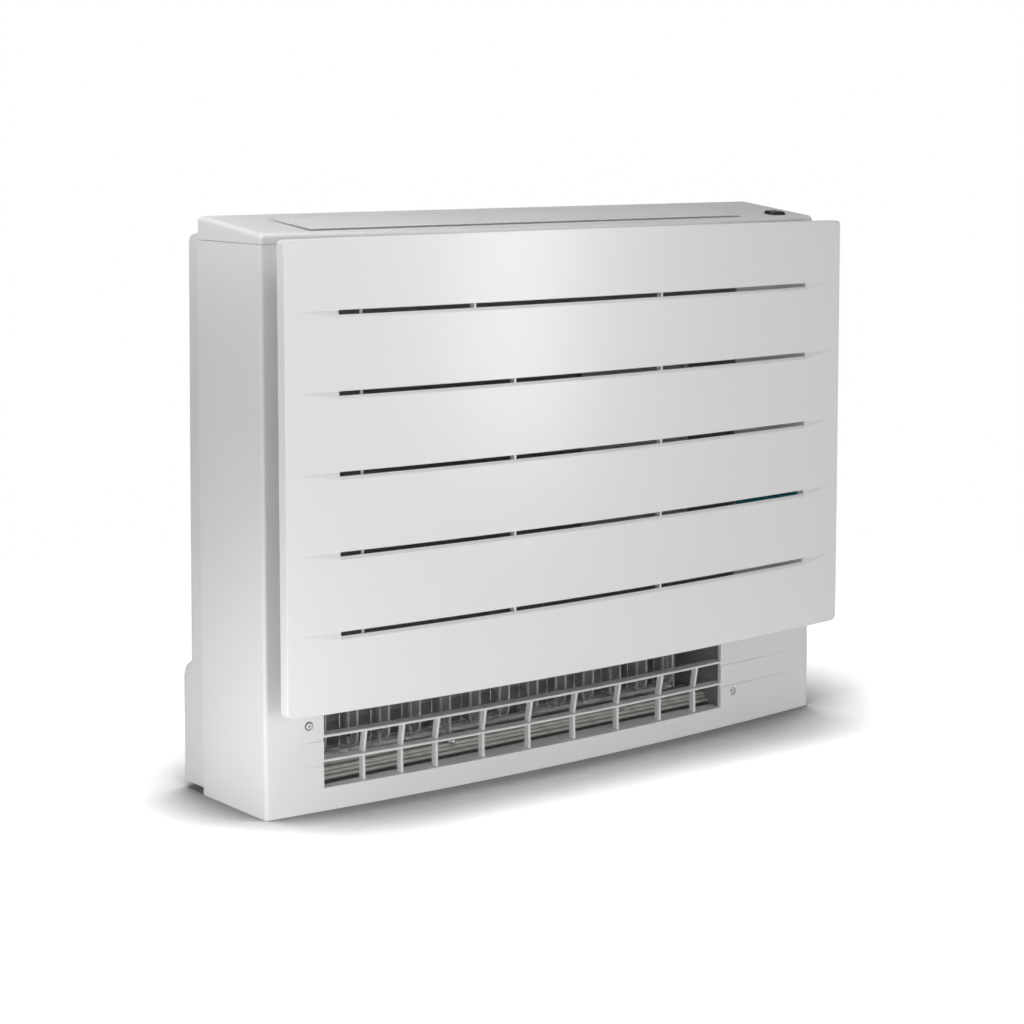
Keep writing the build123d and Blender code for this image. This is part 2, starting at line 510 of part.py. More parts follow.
def rear_frame():
    """Back shell with a floor tongue inside the casing, pipe way and hanging holes."""
    outer = prism_x(rear_profile(0), -REAR_HALF, REAR_HALF)
    side_edges = outer.edges().filter_by(lambda e: abs(abs(e.center().X) - REAR_HALF) < 0.1)
    outer = fillet(side_edges.filter_by(lambda e: e.center().Y > 80), 2.0)
    body = outer - prism_x(rear_profile(WALL), -REAR_HALF + WALL, REAR_HALF - WALL)
    body += block(3 - REAR_HALF, REAR_HALF - 3, CASE_BACK_Y - 108, CASE_BACK_Y + 3,
                  REAR_BOTTOM, REAR_BOTTOM + WALL)
    body -= block(PIPE_WAY[0], PIPE_WAY[1], -30, 50, REAR_BOTTOM - 1, REAR_BOTTOM + WALL + 1)
    body -= rod("Z", DRAIN_R + 4, REAR_BOTTOM - 1, REAR_BOTTOM + WALL + 1, DRAIN_X, DRAIN_Y)
    for x in (-150, 150):
        body -= rod("Y", 2.2, 80, 100, x, 495)
    for x in REAR_RIB_X:
        body += outer & block(x - 1.2, x + 1.2, 82, 96, 150, 560)
    return body


# ---------------------------------------------------------------- intake
def air_filter(x0, x1):
    """Plastic frame with cross bars over a fine mesh sheet, and a grip tab at the top."""
    y0, y1 = -60.0, -57.0
    z0, z1 = INTAKE_BOTTOM + 1, INTAKE_TOP - 1
    body = block(x0, x1, y0, y1, z0, z1) - block(x0 + 8, x1 - 8, y0 - 1, y1 + 1, z0 + 8, z1 - 8)
    body += block(x0 + 4, x1 - 4, y0 + 1.2, y0 + 1.7, z0 + 4, z1 - 4)
    for i in range(1, 4):
        x = x0 + (x1 - x0) * i / 4
        body += block(x - 1.5, x + 1.5, y0, y1, z0 + 4, z1 - 4)
    for i in range(1, 6):
        z = z0 + (z1 - z0) * i / 6
        body += block(x0 + 4, x1 - 4, y0, y1, z - 1.5, z + 1.5)
    middle = (x0 + x1) / 2
    return body + block(middle - 20, middle + 20, y0 - 6, y0 + 1, z1 - 14, z1 - 10)


def purifying_cassette():
    """Light cassette clipped over the middle of the filters, ribbed across."""
    body = block(18, 166, -66.0, -60.3, 232, 446)
    for i in range(12):
        z = 241 + 17 * i
        body -= block(26, 158, -67, -63.5, z, z + 11)
    return body


def deodorising_filter():
    """Pleated blue-green filter over the small side window, following the casing's bow."""
    x0, x1 = SIDE_LEFT - 5, SIDE_RIGHT + 5
    stations = (x0, (x0 + x1) / 2, x1)
    rear = [(x, case_y(x) - 0.1) for x in stations]
    front = [(x, case_y(x) - 4.0) for x in stations]
    body = prism_z(rear + front[::-1], SIDE_BOTTOM - 5, SIDE_TOP + 5)
    for i in range(8):
        z = SIDE_BOTTOM - 1.5 + 6.5 * i
        groove = [(x, case_y(x) - 2.2) for x in (x0 + 4, x1 - 4)] + [(x1 - 4, -90), (x0 + 4, -90)]
        body -= prism_z(groove, z, z + 3.6)
    return body


def panel_stopper(side):
    """Sliding catch beside the intake: knob, stem through the casing and keeper behind it."""
    x = side * STOPPER_X
    knob = block(x - 5.5, x + 5.5, -69.5, -58.3, 540, 558)
    knob = fillet(knob.edges().filter_by(Axis.Y), 1.5)
    stem = block(x - STOPPER_STEM, x + STOPPER_STEM, -59, -46.5, 545.2, 552.8)
    keeper = block(x - 3.4, x + 3.4, -46.8, -44.6, 541, 557)
    tip_x = side * STOPPER_TIP_X
    tongue = block(min(x, tip_x), max(x, tip_x), -68.5, -64.8, 545, 553)
    return knob + stem + keeper + tongue


def outlet_selector():
    """Slide switch that chooses which outlets blow: knob, stem and keeper."""
    x, z = SELECTOR_X, SELECTOR_Z
    knob = block(x - 4, x + 4, SELECTOR_PAD_Y - 3.2, SELECTOR_PAD_Y - LOOSE, z - 4, z + 4)
    knob = fillet(knob.edges().filter_by(Axis.Y), 1.0)
    stem = block(x - SELECTOR_STEM, x + SELECTOR_STEM, SELECTOR_PAD_Y - 1, -51.0, z - 1.6, z + 1.6)
    return knob + stem + block(x - 3, x + 3, -51.7, -50.2, z - 3.4, z + 3.4)


def hinge_pins():
    """Two steel pins that carry the front panel."""
    half = 7.6
    return [rod("X", PIN_R, x - half, x + half, HINGE_Y, HINGE_Z) for x in (-HINGE_EAR_X, HINGE_EAR_X)]


# ---------------------------------------------------------------- heat exchanger
def tube_places():
    """(y, z) of the coil's tubes, two staggered columns."""
    pitch = (COIL_TOP - COIL_BOTTOM) / TUBE_ROWS
    places = []
    for row in range(TUBE_ROWS):
        z = COIL_BOTTOM + pitch * (row + 0.25)
        places.append((COIL_FRONT + 7, z))
        places.append((COIL_BACK - 7, z + pitch / 2))
    return places


def coil_fins():
    """Fin pack drawn as a comb: deep grooves between bundles of fins."""
    body = block(COIL_LEFT, COIL_RIGHT, COIL_FRONT, COIL_BACK, COIL_BOTTOM, COIL_TOP)
    pitch = 8.0
    count = int((COIL_RIGHT - COIL_LEFT) / pitch) - 1
    grooves = []
    for i in range(count):
        x = COIL_LEFT + pitch * (i + 1)
        grooves.append(block(x - 1, x + 1, COIL_FRONT - 1, COIL_FRONT + 3, COIL_BOTTOM - 1, COIL_TOP + 1))
    return body - grooves


def coil_end_plate(x0, x1):
    """Folded sheet at one end of the fin pack."""
    return block(x0, x1, COIL_FRONT - 1.5, COIL_BACK + 3, 116.2, COIL_TOP)


def return_bends():
    """U bends that join neighbouring tubes outside the left end plate."""
    bends = []
    places = tube_places()
    for index in range(0, len(places) - 1, 2):
        (y_a, z_a), (y_b, z_b) = places[index], places[index + 1]
        y_m, z_m = (y_a + y_b) / 2, (z_a + z_b) / 2
        half = hypot(y_b - y_a, z_b - z_a) / 2
        lean = degrees(atan2(z_b - z_a, y_b - y_a))
        path = Line((0, -half, 0), (-2.2, -half, 0))
        path += ThreePointArc((-2.2, -half, 0), (-2.2 - half, 0, 0), (-2.2, half, 0))
        path += Line((-2.2, half, 0), (0, half, 0))
        start = Plane(origin=(0, -half, 0), z_dir=(-1, 0, 0))
        bend = sweep(start * Circle(3.5), path=path)
        bends.append(Pos(COIL_LEFT - 1.5, y_m, z_m) * Rot(lean, 0, 0) * bend)
    return bends


def pipe(points, radii, radius, bore):
    """Round tube along straight runs and bends."""
    path = FilletPolyline(*points, radius=radii)
    first, second = Vector(*points[0]), Vector(*points[1])
    start = Plane(origin=points[0], z_dir=(second - first).normalized())
    return sweep(start * Circle(radius), path=path) - sweep(start * Circle(bore), path=path)


def gas_pipe():
    """Thick refrigerant pipe from the coil down to its flare."""
    x, y, z = GAS_END
    start = (COIL_RIGHT + SHEET + 0.1, -33, 510)
    points = [start, (GAS_LANE, -33, 510), (GAS_LANE, -33, 84), (x, y, 84), (x, y, z)]
    return pipe(points, 12, GAS_R, GAS_R - 0.8)


def liquid_pipe():
    """Thin refrigerant pipe from the coil down to its flare."""
    x, y, z = LIQUID_END
    points = [(COIL_RIGHT + SHEET + 0.1, -17, 176), (LIQUID_LANE, -17, 176), (LIQUID_LANE, -17, 100)]
    return pipe([*points, (x, y, 100), (x, y, z)], 8, LIQUID_R, LIQUID_R - 0.7)


def hex_prism(radius, x, y, z0, z1):
    """Upright hexagonal bar."""
    return Pos(x, y, z0) * extrude(RegularPolygon(radius, 6), amount=z1 - z0)


def flare_nuts():
    """Two hexagonal nuts on the pipes' ends, with their threads open below."""
    nuts = []
    sizes = ((GAS_END, GAS_R, GAS_NUT_R, GAS_THREAD_R),
             (LIQUID_END, LIQUID_R, LIQUID_NUT_R, LIQUID_THREAD_R))
    for (x, y, z), radius, corner, thread in sizes:
        low = z - 1 - NUT_THREAD_DEPTH
        nut = hex_prism(corner, x, y, low, low + NUT_HEIGHT)
        nut -= rod("Z", thread, low - 1, z - 1, x, y)
        nuts.append(nut - rod("Z", radius, z - 2, z + NUT_HEIGHT, x, y))
    return nuts


def drain_pan():
    """Trough under the coil with a spout hole at its left end."""
    outer = prism_x([(-44, 134), (-44, 114), (-7, 114), (-7, 134)], COIL_LEFT - 5, COIL_RIGHT + 8)
    inner = prism_x([(-42, 135), (-42, 116), (-9, 116), (-9, 135)], COIL_LEFT - 3, COIL_RIGHT + 6)
    pan = outer - inner
    pan -= rod("X", DRAIN_R - 2.5, COIL_LEFT - 8, COIL_LEFT - 1, DRAIN_Y, DRAIN_Z)
    return pan


# ---------------------------------------------------------------- fan
def bell_mouth():
    """Wall between the coil and the fan with a rounded inlet ring."""
    wall = block(COIL_LEFT - 8, COIL_RIGHT + 11, -6, -3.5, 112.4, COIL_TOP)
    wall -= rod("Y", 104, -10, 0, FAN_X, FAN_Z)
    neck = ring_plate(FAN_X, FAN_Z, 106.5, 104, -6, 4.5)
    return wall + neck


def fan_blade(angle):
    """One backward-curved blade, turned to its place."""
    def at(radius, turn):
        a = radians(angle + turn)
        return (FAN_X + radius * cos(a), FAN_FRONT_Y + 2.6, FAN_Z + radius * sin(a))

    outer = ThreePointArc(at(90, 0), at(127, -9), at(155, -27))
    tail = Line(at(155, -27), at(156.6, -26.2))
    inner = ThreePointArc(at(156.6, -26.2), at(128.5, -7.8), at(90, 1.6))
    nose = Line(at(90, 1.6), at(90, 0))
    depth = FAN_BACK_Y - FAN_FRONT_Y - 4.6
    return extrude(make_face(outer + tail + inner + nose), amount=depth, dir=(0, 1, 0))


def fan_impeller():
    """Turbo wheel: shroud, back plate, cup-shaped hub over the motor, and blades."""
    back = ring_plate(FAN_X, FAN_Z, FAN_R, 52, FAN_BACK_Y - 2.5, FAN_BACK_Y)
    shroud = ring_plate(FAN_X, FAN_Z, FAN_R, 111, FAN_FRONT_Y, FAN_FRONT_Y + 3)
    cup = rod("Y", 54.5, 26, FAN_BACK_Y, FAN_X, FAN_Z) - rod("Y", 52, 28.5, FAN_BACK_Y + 1, FAN_X, FAN_Z)
    boss = rod("Y", 12, 14, 27, FAN_X, FAN_Z)
    wheel = back + shroud + cup + boss + [fan_blade(360 / FAN_BLADES * i) for i in range(FAN_BLADES)]
    return wheel - rod("Y", SHAFT_R, 10, 40, FAN_X, FAN_Z)


def fan_shaft():
    """Motor shaft that turns with the wheel."""
    return rod("Y", SHAFT_R, 7, 60, FAN_X, FAN_Z)


def fan_nut():
    """Nut that holds the wheel on its shaft."""
    nut = Pos(FAN_X, 13.9, FAN_Z) * Rot(90, 0, 0) * extrude(RegularPolygon(7.5, 6), amount=5)
    return nut - rod("Y", SHAFT_R, 5, 20, FAN_X, FAN_Z)


def fan_motor():
    """Motor can with a bearing nose, standing on its bracket."""
    can = rod("Y", MOTOR_R, 36, 78, FAN_X, FAN_Z)
    can = fillet(can.edges().sort_by(Axis.Y)[0], 5)
    nose = rod("Y", 11, 32.5, 37, FAN_X, FAN_Z)
    return can + nose - rod("Y", SHAFT_R + RUNNING, 30, 62, FAN_X, FAN_Z)


def motor_bracket():
    """Steel plate that carries the motor on the rear frame."""
    plate = ring_plate(FAN_X, FAN_Z, 70, 20, 78, 80.5)
    for i in range(4):
        a = radians(45 + 90 * i)
        z = FAN_Z + 60 * sin(a)
        plate += rod("Y", 5, 80, rear_inner_y(z + 5) - 0.05, FAN_X + 60 * cos(a), z)
    return plate


def scroll_guides():
    """Two curved walls beside the wheel that lead the air up and down."""
    guides = []
    for side in (-1, 1):
        ring = ring_plate(FAN_X, FAN_Z, 174.5, 172, -3.2, rear_inner_y(FAN_Z + 150) - 0.1)
        middle = FAN_X + side * 130
        guides.append(ring & block(middle - 70, middle + 70, -4, 95, FAN_Z - 150, FAN_Z + 150))
    return guides


# ---------------------------------------------------------------- electrics
def electrical_box():
    """Steel tray at the right of the coil, open to the front."""
    tray = block(TRAY_LEFT, TRAY_RIGHT, -44, 88, 140, 520)
    return tray - block(TRAY_LEFT + 1.2, TRAY_RIGHT - 1.2, -50, 86.8, 141.2, 518.8)


def electrical_cover():
    """Steel cover with a raised middle."""
    cover = block(TRAY_LEFT, TRAY_RIGHT, -45.3, -44.1, 140, 520)
    return cover + block(TRAY_LEFT + 11, TRAY_RIGHT - 11, -46.6, -45, 152, 508)


def control_board():
    """Board with its large parts."""
    x0, x1 = TRAY_LEFT + 5, TRAY_RIGHT - 5
    board = block(x0, x1, 78, 79.6, 210, 512)
    parts = [rod("Y", 8, 46, 78.2, x0 + 16 + 22 * i, 240) for i in range(3)]
    parts.append(block(x0 + 6, x0 + 46, 50, 78.2, 420, 470))
    parts.append(block(x1 - 33, x1 - 5, 60, 78.2, 300, 372))
    parts += [block(x0 + 6 + 18 * i, x0 + 18 + 18 * i, 68, 78.2, 486, 500) for i in range(4)]
    parts += [rod("Y", 2.5, 79.4, 86.7, x, z) for x in (x0 + 6, x1 - 6) for z in (218, 504)]
    return board + parts


def terminal_block():
    """Row of screw terminals for the supply."""
    x0 = TRAY_LEFT + 9
    body = block(x0, x0 + 80, 58, 86.7, 160, 190)
    for i in range(5):
        x = x0 + 8 + 16 * i
        body -= block(x - 6, x + 6, 56, 68, 163, 187)
        body += rod("Y", 3.2, 64, 69, x, 175)
    return body


# ---------------------------------------------------------------- lower outlet
def outlet_duct():
    """Curved channel from the fan to the grille, with its two side cheeks."""
    floor_line = [(DUCT_FRONT_Y, 21), (0, 29.5), (56, 34), (72, 52), (78, 80), (80, 112)]
    under = [(y + 1.2 * i * 0.35, z - DUCT_WALL) for i, (y, z) in enumerate(floor_line)]
    floor = prism_x(floor_line + under[::-1], DUCT_LEFT - 1, DUCT_RIGHT + 1)
    roof = block(DUCT_LEFT - 1, DUCT_RIGHT + 1, DUCT_FRONT_Y, -7, 108, 110)
    body = floor + roof
    sides = ((DUCT_LEFT - WALL, CHEEK_FRONT_LEFT), (DUCT_RIGHT, CHEEK_FRONT_RIGHT))
    for x0, front in sides:
        x1 = x0 + WALL
        body += prism_x(
            [(front, 18), (DUCT_FRONT_Y, 18), (0, 26), (58, 30.5), (76, 50), (82, 79), (84, 112), (-7, 112),
             (DUCT_FRONT_Y, 110), (front, 110)], x0, x1)
        for y, z in ((LOWER_FLAP_Y, LOWER_FLAP_Z), (DAMPER_Y, DAMPER_Z)):
            body -= rod("X", SPINDLE_R + RUNNING, x0 - 1, x1 + 1, y, z)
    return body


def lower_flap():
    """Ridged level flap along the foot of the outlet."""
    x0, x1 = DUCT_LEFT + 1.5, DUCT_RIGHT - 1.5
    half_run, half_rise = 12.0, 6.0
    points = []
    steps = 4
    for i in range(steps):
        share = i / steps
        y = LOWER_FLAP_Y - half_run + 2 * half_run * share
        z = LOWER_FLAP_Z - half_rise + 2 * half_rise * share
        points += [(y, z), (y + 0.9, z + 2.0), (y + 2 * half_run / steps, z + 2.0 + 0.5)]
    end_y, end_z = LOWER_FLAP_Y + half_run, LOWER_FLAP_Z + half_rise
    points += [(end_y + 0.6, end_z - 1.4), (LOWER_FLAP_Y - half_run + 1.2, LOWER_FLAP_Z - half_rise - 1.6)]
    blade = prism_x(points, x0, x1)
    tube = rod("X", 2.8, x0, x1, LOWER_FLAP_Y, LOWER_FLAP_Z)
    pins = rod("X", SPINDLE_R, DUCT_LEFT - 2.4, x0 + 4, LOWER_FLAP_Y, LOWER_FLAP_Z)
    drive = rod("X", SPINDLE_R, x1 - 4, DUCT_RIGHT + 9, LOWER_FLAP_Y, LOWER_FLAP_Z)
    return blade + tube + pins + drive


def damper():
    """Plate that lies on the duct's floor and swings up to shut the lower outlet."""
    x0, x1 = DUCT_LEFT + 1.5, DUCT_RIGHT - 1.5
    slope = radians(4.6)
    length, thick = 50.0, 2.2
    u = (cos(slope), sin(slope))
    v = (-sin(slope), cos(slope))
    base = (DAMPER_Y, DAMPER_Z)
    corner = [(base[0] + u[0] * a + v[0] * b, base[1] + u[1] * a + v[1] * b)
              for a, b in ((0, -thick / 2), (length, -thick / 2), (length, thick / 2), (0, thick / 2))]
    body = prism_x(corner, x0, x1) + rod("X", 2.8, x0, x1, DAMPER_Y, DAMPER_Z)
    body += rod("X", SPINDLE_R, DUCT_LEFT - 2.4, x0 + 4, DAMPER_Y, DAMPER_Z)
    return body + rod("X", SPINDLE_R, x1 - 4, DUCT_RIGHT + 9, DAMPER_Y, DAMPER_Z)


def swing_motors():
    """Three small geared motors: lower flap, damper and upper flap."""
    motors = []
    for y, z in ((LOWER_FLAP_Y, LOWER_FLAP_Z), (DAMPER_Y, DAMPER_Z)):
        x = DUCT_RIGHT + 2.7
        body = rod("X", 14, x + 2, x + 18, y, z) + block(x, x + 2.2, y - 14, y + 14, z - 9, z + 3)
        motors.append(body - rod("X", SPINDLE_R + RUNNING, x - 1, x + 12, y, z))
    x = FLAP_RIGHT + 5.2
    z = CAP_FRONT_Z - FLAP_AXIS_DOWN
    body = block(x, x + 17, FLAP_AXIS_Y - 10, FLAP_AXIS_Y + 10, z - 17, z + 2.4)
    body = fillet(body.edges().filter_by(Axis.X), 2.2)
    motors.append(tilted(body - rod("X", FLAP_SPINDLE_R + RUNNING, x - 1, x + 12, FLAP_AXIS_Y, z)))
    return motors


def vane_x(index):
    """X of a vane's pivot."""
    return VANE_FIRST_X + VANE_PITCH * index


def vane(index):
    """Clear upright vane with two pivots and a link pin; the drivers carry a finger lever."""
    front, back = VANE_AXIS_Y - 17, VANE_AXIS_Y + VANE_LINK_R + 2
    low, high = VANE_BOTTOM, VANE_TOP
    r = 13.0
    cut = r * (1 - cos(radians(45)))
    outline = Polyline(
        (0, front + 4, high), (0, back - 6, high), (0, back, high - 8), (0, back, low), (0, front + r, low))
    outline += ThreePointArc((0, front + r, low), (0, front + cut, low + cut), (0, front, low + r))
    outline += Line((0, front, low + r), (0, front, high - 4))
    outline += ThreePointArc((0, front, high - 4), (0, front + 1.17, high - 1.17), (0, front + 4, high))
    body = Pos(-0.7, 0, 0) * extrude(make_face(outline), amount=1.4, dir=(1, 0, 0))
    body += rod("Z", 2.4, VANE_BOTTOM - 0.8, VANE_TOP + 0.4, 0, VANE_AXIS_Y)
    body += rod("Z", VANE_PIN_R, VANE_BOTTOM - 5.2, VANE_TOP + 3.8, 0, VANE_AXIS_Y)
    link_y = VANE_AXIS_Y + VANE_LINK_R
    body += block(-2, 2, link_y - 2, link_y + 2, VANE_BOTTOM - 0.8, VANE_BOTTOM + 2)
    body += rod("Z", 1.2, VANE_BOTTOM - 5.4, VANE_BOTTOM, 0, link_y)
    if index in VANE_DRIVERS:
        grip_y, grip_z = front - 3, VANE_BOTTOM - 11
        lever = prism_x(
            [(front + 1, low + 14), (front + 1, low - 1), (grip_y - 3, grip_z + 1), (grip_y + 3, grip_z + 2),
             (front + 9, low + 1), (front + 9, low + 10)], -1.2, 1.2)
        body += lever + rod("X", 4.2, -1.2, 1.2, grip_y, grip_z)
        body -= rod("X", 2.4, -3, 3, grip_y, grip_z)
    return Pos(vane_x(index), 0, 0) * body


def vane_carrier():
    """Open frame whose two rails hold the vane pivots."""
    x0, x1 = DUCT_LEFT + 0.5, vane_x(VANE_COUNT - 1) + 13
    top = block(x0, x1, VANE_AXIS_Y - 5, VANE_AXIS_Y + 5, VANE_TOP + 0.8, VANE_TOP + 4.6)
    low = block(x0, x1, VANE_AXIS_Y - 3.2, VANE_AXIS_Y + 3.2, VANE_BOTTOM - 5, VANE_BOTTOM - 1.2)
    body = top + low
    for end in (x0, x1 - 2):
        body += block(end, end + 2, VANE_AXIS_Y - 5, VANE_AXIS_Y + 5, VANE_BOTTOM - 5, VANE_TOP + 4.6)
    for i in range(VANE_COUNT):
        body -= rod("Z", VANE_PIN_R + RUNNING, VANE_BOTTOM - 8, VANE_TOP + 8, vane_x(i), VANE_AXIS_Y)
    return body


def link_bar(first, last):
    """Bar that keeps a group of vanes parallel; its holes are long enough for the pins' arc."""
    y = VANE_AXIS_Y + VANE_LINK_R
    body = block(vane_x(first) - 4, vane_x(last) + 4, y - 4.2, y + 3.2, VANE_BOTTOM - 4.6, VANE_BOTTOM - 1.4)
    for i in range(first, last + 1):
        body -= block(vane_x(i) - 1.6, vane_x(i) + 1.6, y - 3.0, y + 1.6, VANE_BOTTOM - 8, VANE_BOTTOM)
    return body


# ---------------------------------------------------------------- drains and fixings
def drain_socket():
    """Spout from the pan that turns down to the drain hose's end."""
    points = [(COIL_LEFT - 5, DRAIN_Y, DRAIN_Z), (DRAIN_X, DRAIN_Y, DRAIN_Z), (DRAIN_X, DRAIN_Y, 28)]
    return pipe(points, 14, DRAIN_R, DRAIN_R - 2)


def mounting_plate():
    """Steel wall plate: a middle web against the rear frame and two stepped feet with holes."""
    y = 96.4
    web = block(-196, 196, y, y + 1.4, 430, 560)
    plate = web
    for side in (-1, 1):
        x_in, x_out = side * 196, side * 232
        plate += block(x_in - 1.4, x_in + 1.4, y, BACK, 430, 560)
        plate += block(min(x_in, x_out), max(x_in, x_out), BACK - 1.4, BACK, 430, 560)
        for z in (450, 540):
            plate -= rod("Y", 2.75, BACK - 5, BACK + 5, side * 216, z)
    for x in (-150, 150):
        plate -= rod("Y", 2.2, y - 3, y + 5, x, 495)
    return plate


def casing_screws():
    """Fixing screw of the casing, with its cross slot."""
    head_y = case_y(SCREW_X)
    screw = rod("Y", 3.9, head_y - 0.9, head_y + 0.9, SCREW_X, SCREW_Z)
    screw += rod("Y", 1.95, head_y, -42, SCREW_X, SCREW_Z)
    screw = fillet(screw.edges().sort_by(Axis.Y)[0], 0.8)
    cross = Box(3.6, 1.4, 0.7) + Box(0.7, 1.4, 3.6)
    return screw - Pos(SCREW_X, head_y - 0.9, SCREW_Z) * cross


def mounting_screws():
    """Two screws that hold the rear frame to the wall plate."""
    head = rear_inner_y(500) - 0.05
    return [rod("Y", 2.1, 88, 100, x, 495) + rod("Y", 4.5, head - 3, head, x, 495) for x in (-150, 150)]


# ---------------------------------------------------------------- write
def pieces():
    """Node names and the functions that draw them."""
    middle = (INTAKE_LEFT + INTAKE_RIGHT) / 2
    made = {
        "front_panel": front_panel,
        "panel_hooks": panel_hooks,
        "front_casing": front_casing,
        "top_cap": top_cap,
        "rear_frame": rear_frame,
        "upper_flap": upper_flap,
        "display_window": display_window,
        "display_board": display_board,
        "power_button": power_button,
        "air_filter_left": lambda: air_filter(INTAKE_LEFT + 1, middle - 0.5),
        "air_filter_right": lambda: air_filter(middle + 0.5, INTAKE_RIGHT - 1),
        "purifying_cassette": purifying_cassette,
        "deodorising_filter": deodorising_filter,
        "panel_stopper_left": lambda: panel_stopper(-1),
        "panel_stopper_right": lambda: panel_stopper(1),
        "panel_hinge_pins": hinge_pins,
        "outlet_selector": outlet_selector,
        "heat_exchanger_fins": coil_fins,
        "coil_end_plate_left": lambda: coil_end_plate(COIL_LEFT - SHEET, COIL_LEFT),
        "coil_end_plate_right": lambda: coil_end_plate(COIL_RIGHT, COIL_RIGHT + SHEET),
        "coil_return_bends": return_bends,
        "gas_pipe": gas_pipe,
        "liquid_pipe": liquid_pipe,
        "flare_nuts": flare_nuts,
        "drain_pan": drain_pan,
        "drain_socket": drain_socket,
        "bell_mouth": bell_mouth,
        "fan_impeller": fan_impeller,
        "fan_shaft": fan_shaft,
        "fan_nut": fan_nut,
        "fan_motor": fan_motor,
        "motor_bracket": motor_bracket,
        "scroll_guides": scroll_guides,
        "electrical_box": electrical_box,
        "electrical_cover": electrical_cover,
        "control_board": control_board,
        "terminal_block": terminal_block,
        "outlet_duct": outlet_duct,
        "lower_flap": lower_flap,
        "damper": damper,
        "swing_motors": swing_motors,
        "vane_carrier": vane_carrier,
        "link_bar_left": lambda: link_bar(0, VANE_SPLIT - 1),
        "link_bar_right": lambda: link_bar(VANE_SPLIT, VANE_COUNT - 1),
        "mounting_plate": mounting_plate,
        "mounting_screws": mounting_screws,
        "casing_screws": casing_screws,
    }
    for index in range(VANE_COUNT):
        made[f"vane_{index + 1:02d}"] = partial(vane, index)
    return made


def write(name, shape):
    """One STEP file per node; a list of solids becomes one group."""
    whole = Compound(children=list(shape)) if isinstance(shape, list) else shape
    export_step(whole, f"parts/{name}.step")


def main():
    os.makedirs("parts", exist_ok=True)
    for name, make in pieces().items():
        write(name, make())


if __name__ == "__main__":
    main()
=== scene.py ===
"""Looks, light and camera for the floor standing air conditioner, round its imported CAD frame.

Metres, in the frame's own axes: the origin is the middle of the footprint on the floor, +Z is up, the
front faces -Y and +X is on the right of somebody facing the unit.
"""

from math import cos, pi, radians, sin

import bpy
import bmesh
from mathutils import Matrix, Vector


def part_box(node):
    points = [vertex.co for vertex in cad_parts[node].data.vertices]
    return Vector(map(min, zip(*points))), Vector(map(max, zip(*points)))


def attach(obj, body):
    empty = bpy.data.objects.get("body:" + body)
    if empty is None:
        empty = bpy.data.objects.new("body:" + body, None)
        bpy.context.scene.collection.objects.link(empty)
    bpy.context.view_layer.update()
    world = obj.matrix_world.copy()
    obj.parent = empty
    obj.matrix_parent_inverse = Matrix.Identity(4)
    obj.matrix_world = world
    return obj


MM = 0.001

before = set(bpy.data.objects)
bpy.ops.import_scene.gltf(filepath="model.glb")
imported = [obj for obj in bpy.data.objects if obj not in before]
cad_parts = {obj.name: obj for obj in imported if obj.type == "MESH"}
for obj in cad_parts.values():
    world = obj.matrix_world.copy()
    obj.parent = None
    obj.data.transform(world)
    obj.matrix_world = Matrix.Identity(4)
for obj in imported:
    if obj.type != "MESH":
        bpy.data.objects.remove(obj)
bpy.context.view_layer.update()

# ---------------------------------------------------------------- dimensions shared with the CAD
PANEL_HALF, PANEL_BOW = 375 * MM, 20 * MM  # half width of the front panel and rise of its arc
SLOT_HALF = 316 * MM  # half the length of the panel's slots
VANE_COUNT = 13
VANE_RUN = 33 * MM  # a vane's plate, from its free edge to its back edge
VANE_HEAD, VANE_FOOT = 3.8 * MM, 54.8 * MM  # the plate's two ends, below the upper pivot's end
VANE_AXIS = 16 * MM  # the pivot, ahead of the plate's back edge
KEY_TOP = (-30.57 * MM, 587.02 * MM)  # y and z of the middle of the key's top
LID_TILT = radians(6.5)

# ---------------------------------------------------------------- small pieces
BEAD_R, BEAD_INSET = 0.75 * MM, 1.2 * MM  # bead round a vane, its near-white a painted highlight of the clear edge, and its line inside the plate's edge
BEAD_CORNER, BEAD_ROUND = 3 * MM, 13 * MM  # its cut upper corner and its round lower one
BEAD_END = 5 * MM  # where it stops short of the back edge, at the top
BEAD_STEPS = 8
EYE_AHEAD, EYE_UP = 1.5 * MM, 12 * MM  # bush ahead of the pivot and above the plate's foot
BUSH_R, BUSH_LENGTH, BUSH_BEVEL = 1.9 * MM, 4.0 * MM, 0.3 * MM
BUSH_SIDES = 32
COLLAR_HALF_Y, COLLAR_HALF_Z, COLLAR_BEAD = 4.6 * MM, 5.2 * MM, 0.6 * MM
COLLAR_STEPS = 24
FINGER_R = 0.8 * MM
FINGER_LINE = ((-8 * MM, -7 * MM), (2 * MM, -10 * MM), (3 * MM, -17 * MM))  # y from the bush, z from the top
DARK_RING_R, DARK_RING_IN, DARK_RING_BEAD = 4.3 * MM, 1.4 * MM, 0.35 * MM  # black ring round the casing's screw; IN is behind the screw's front
MARK_R, MARK_BEAD = 1.7 * MM, 0.3 * MM
RING_STEPS = 32
TUBE_ROUNDNESS = 2
LEVEL = 1e-9  # an edge whose ends differ by less than this in z is part of a rim
SPLIT_ANGLE = radians(40)

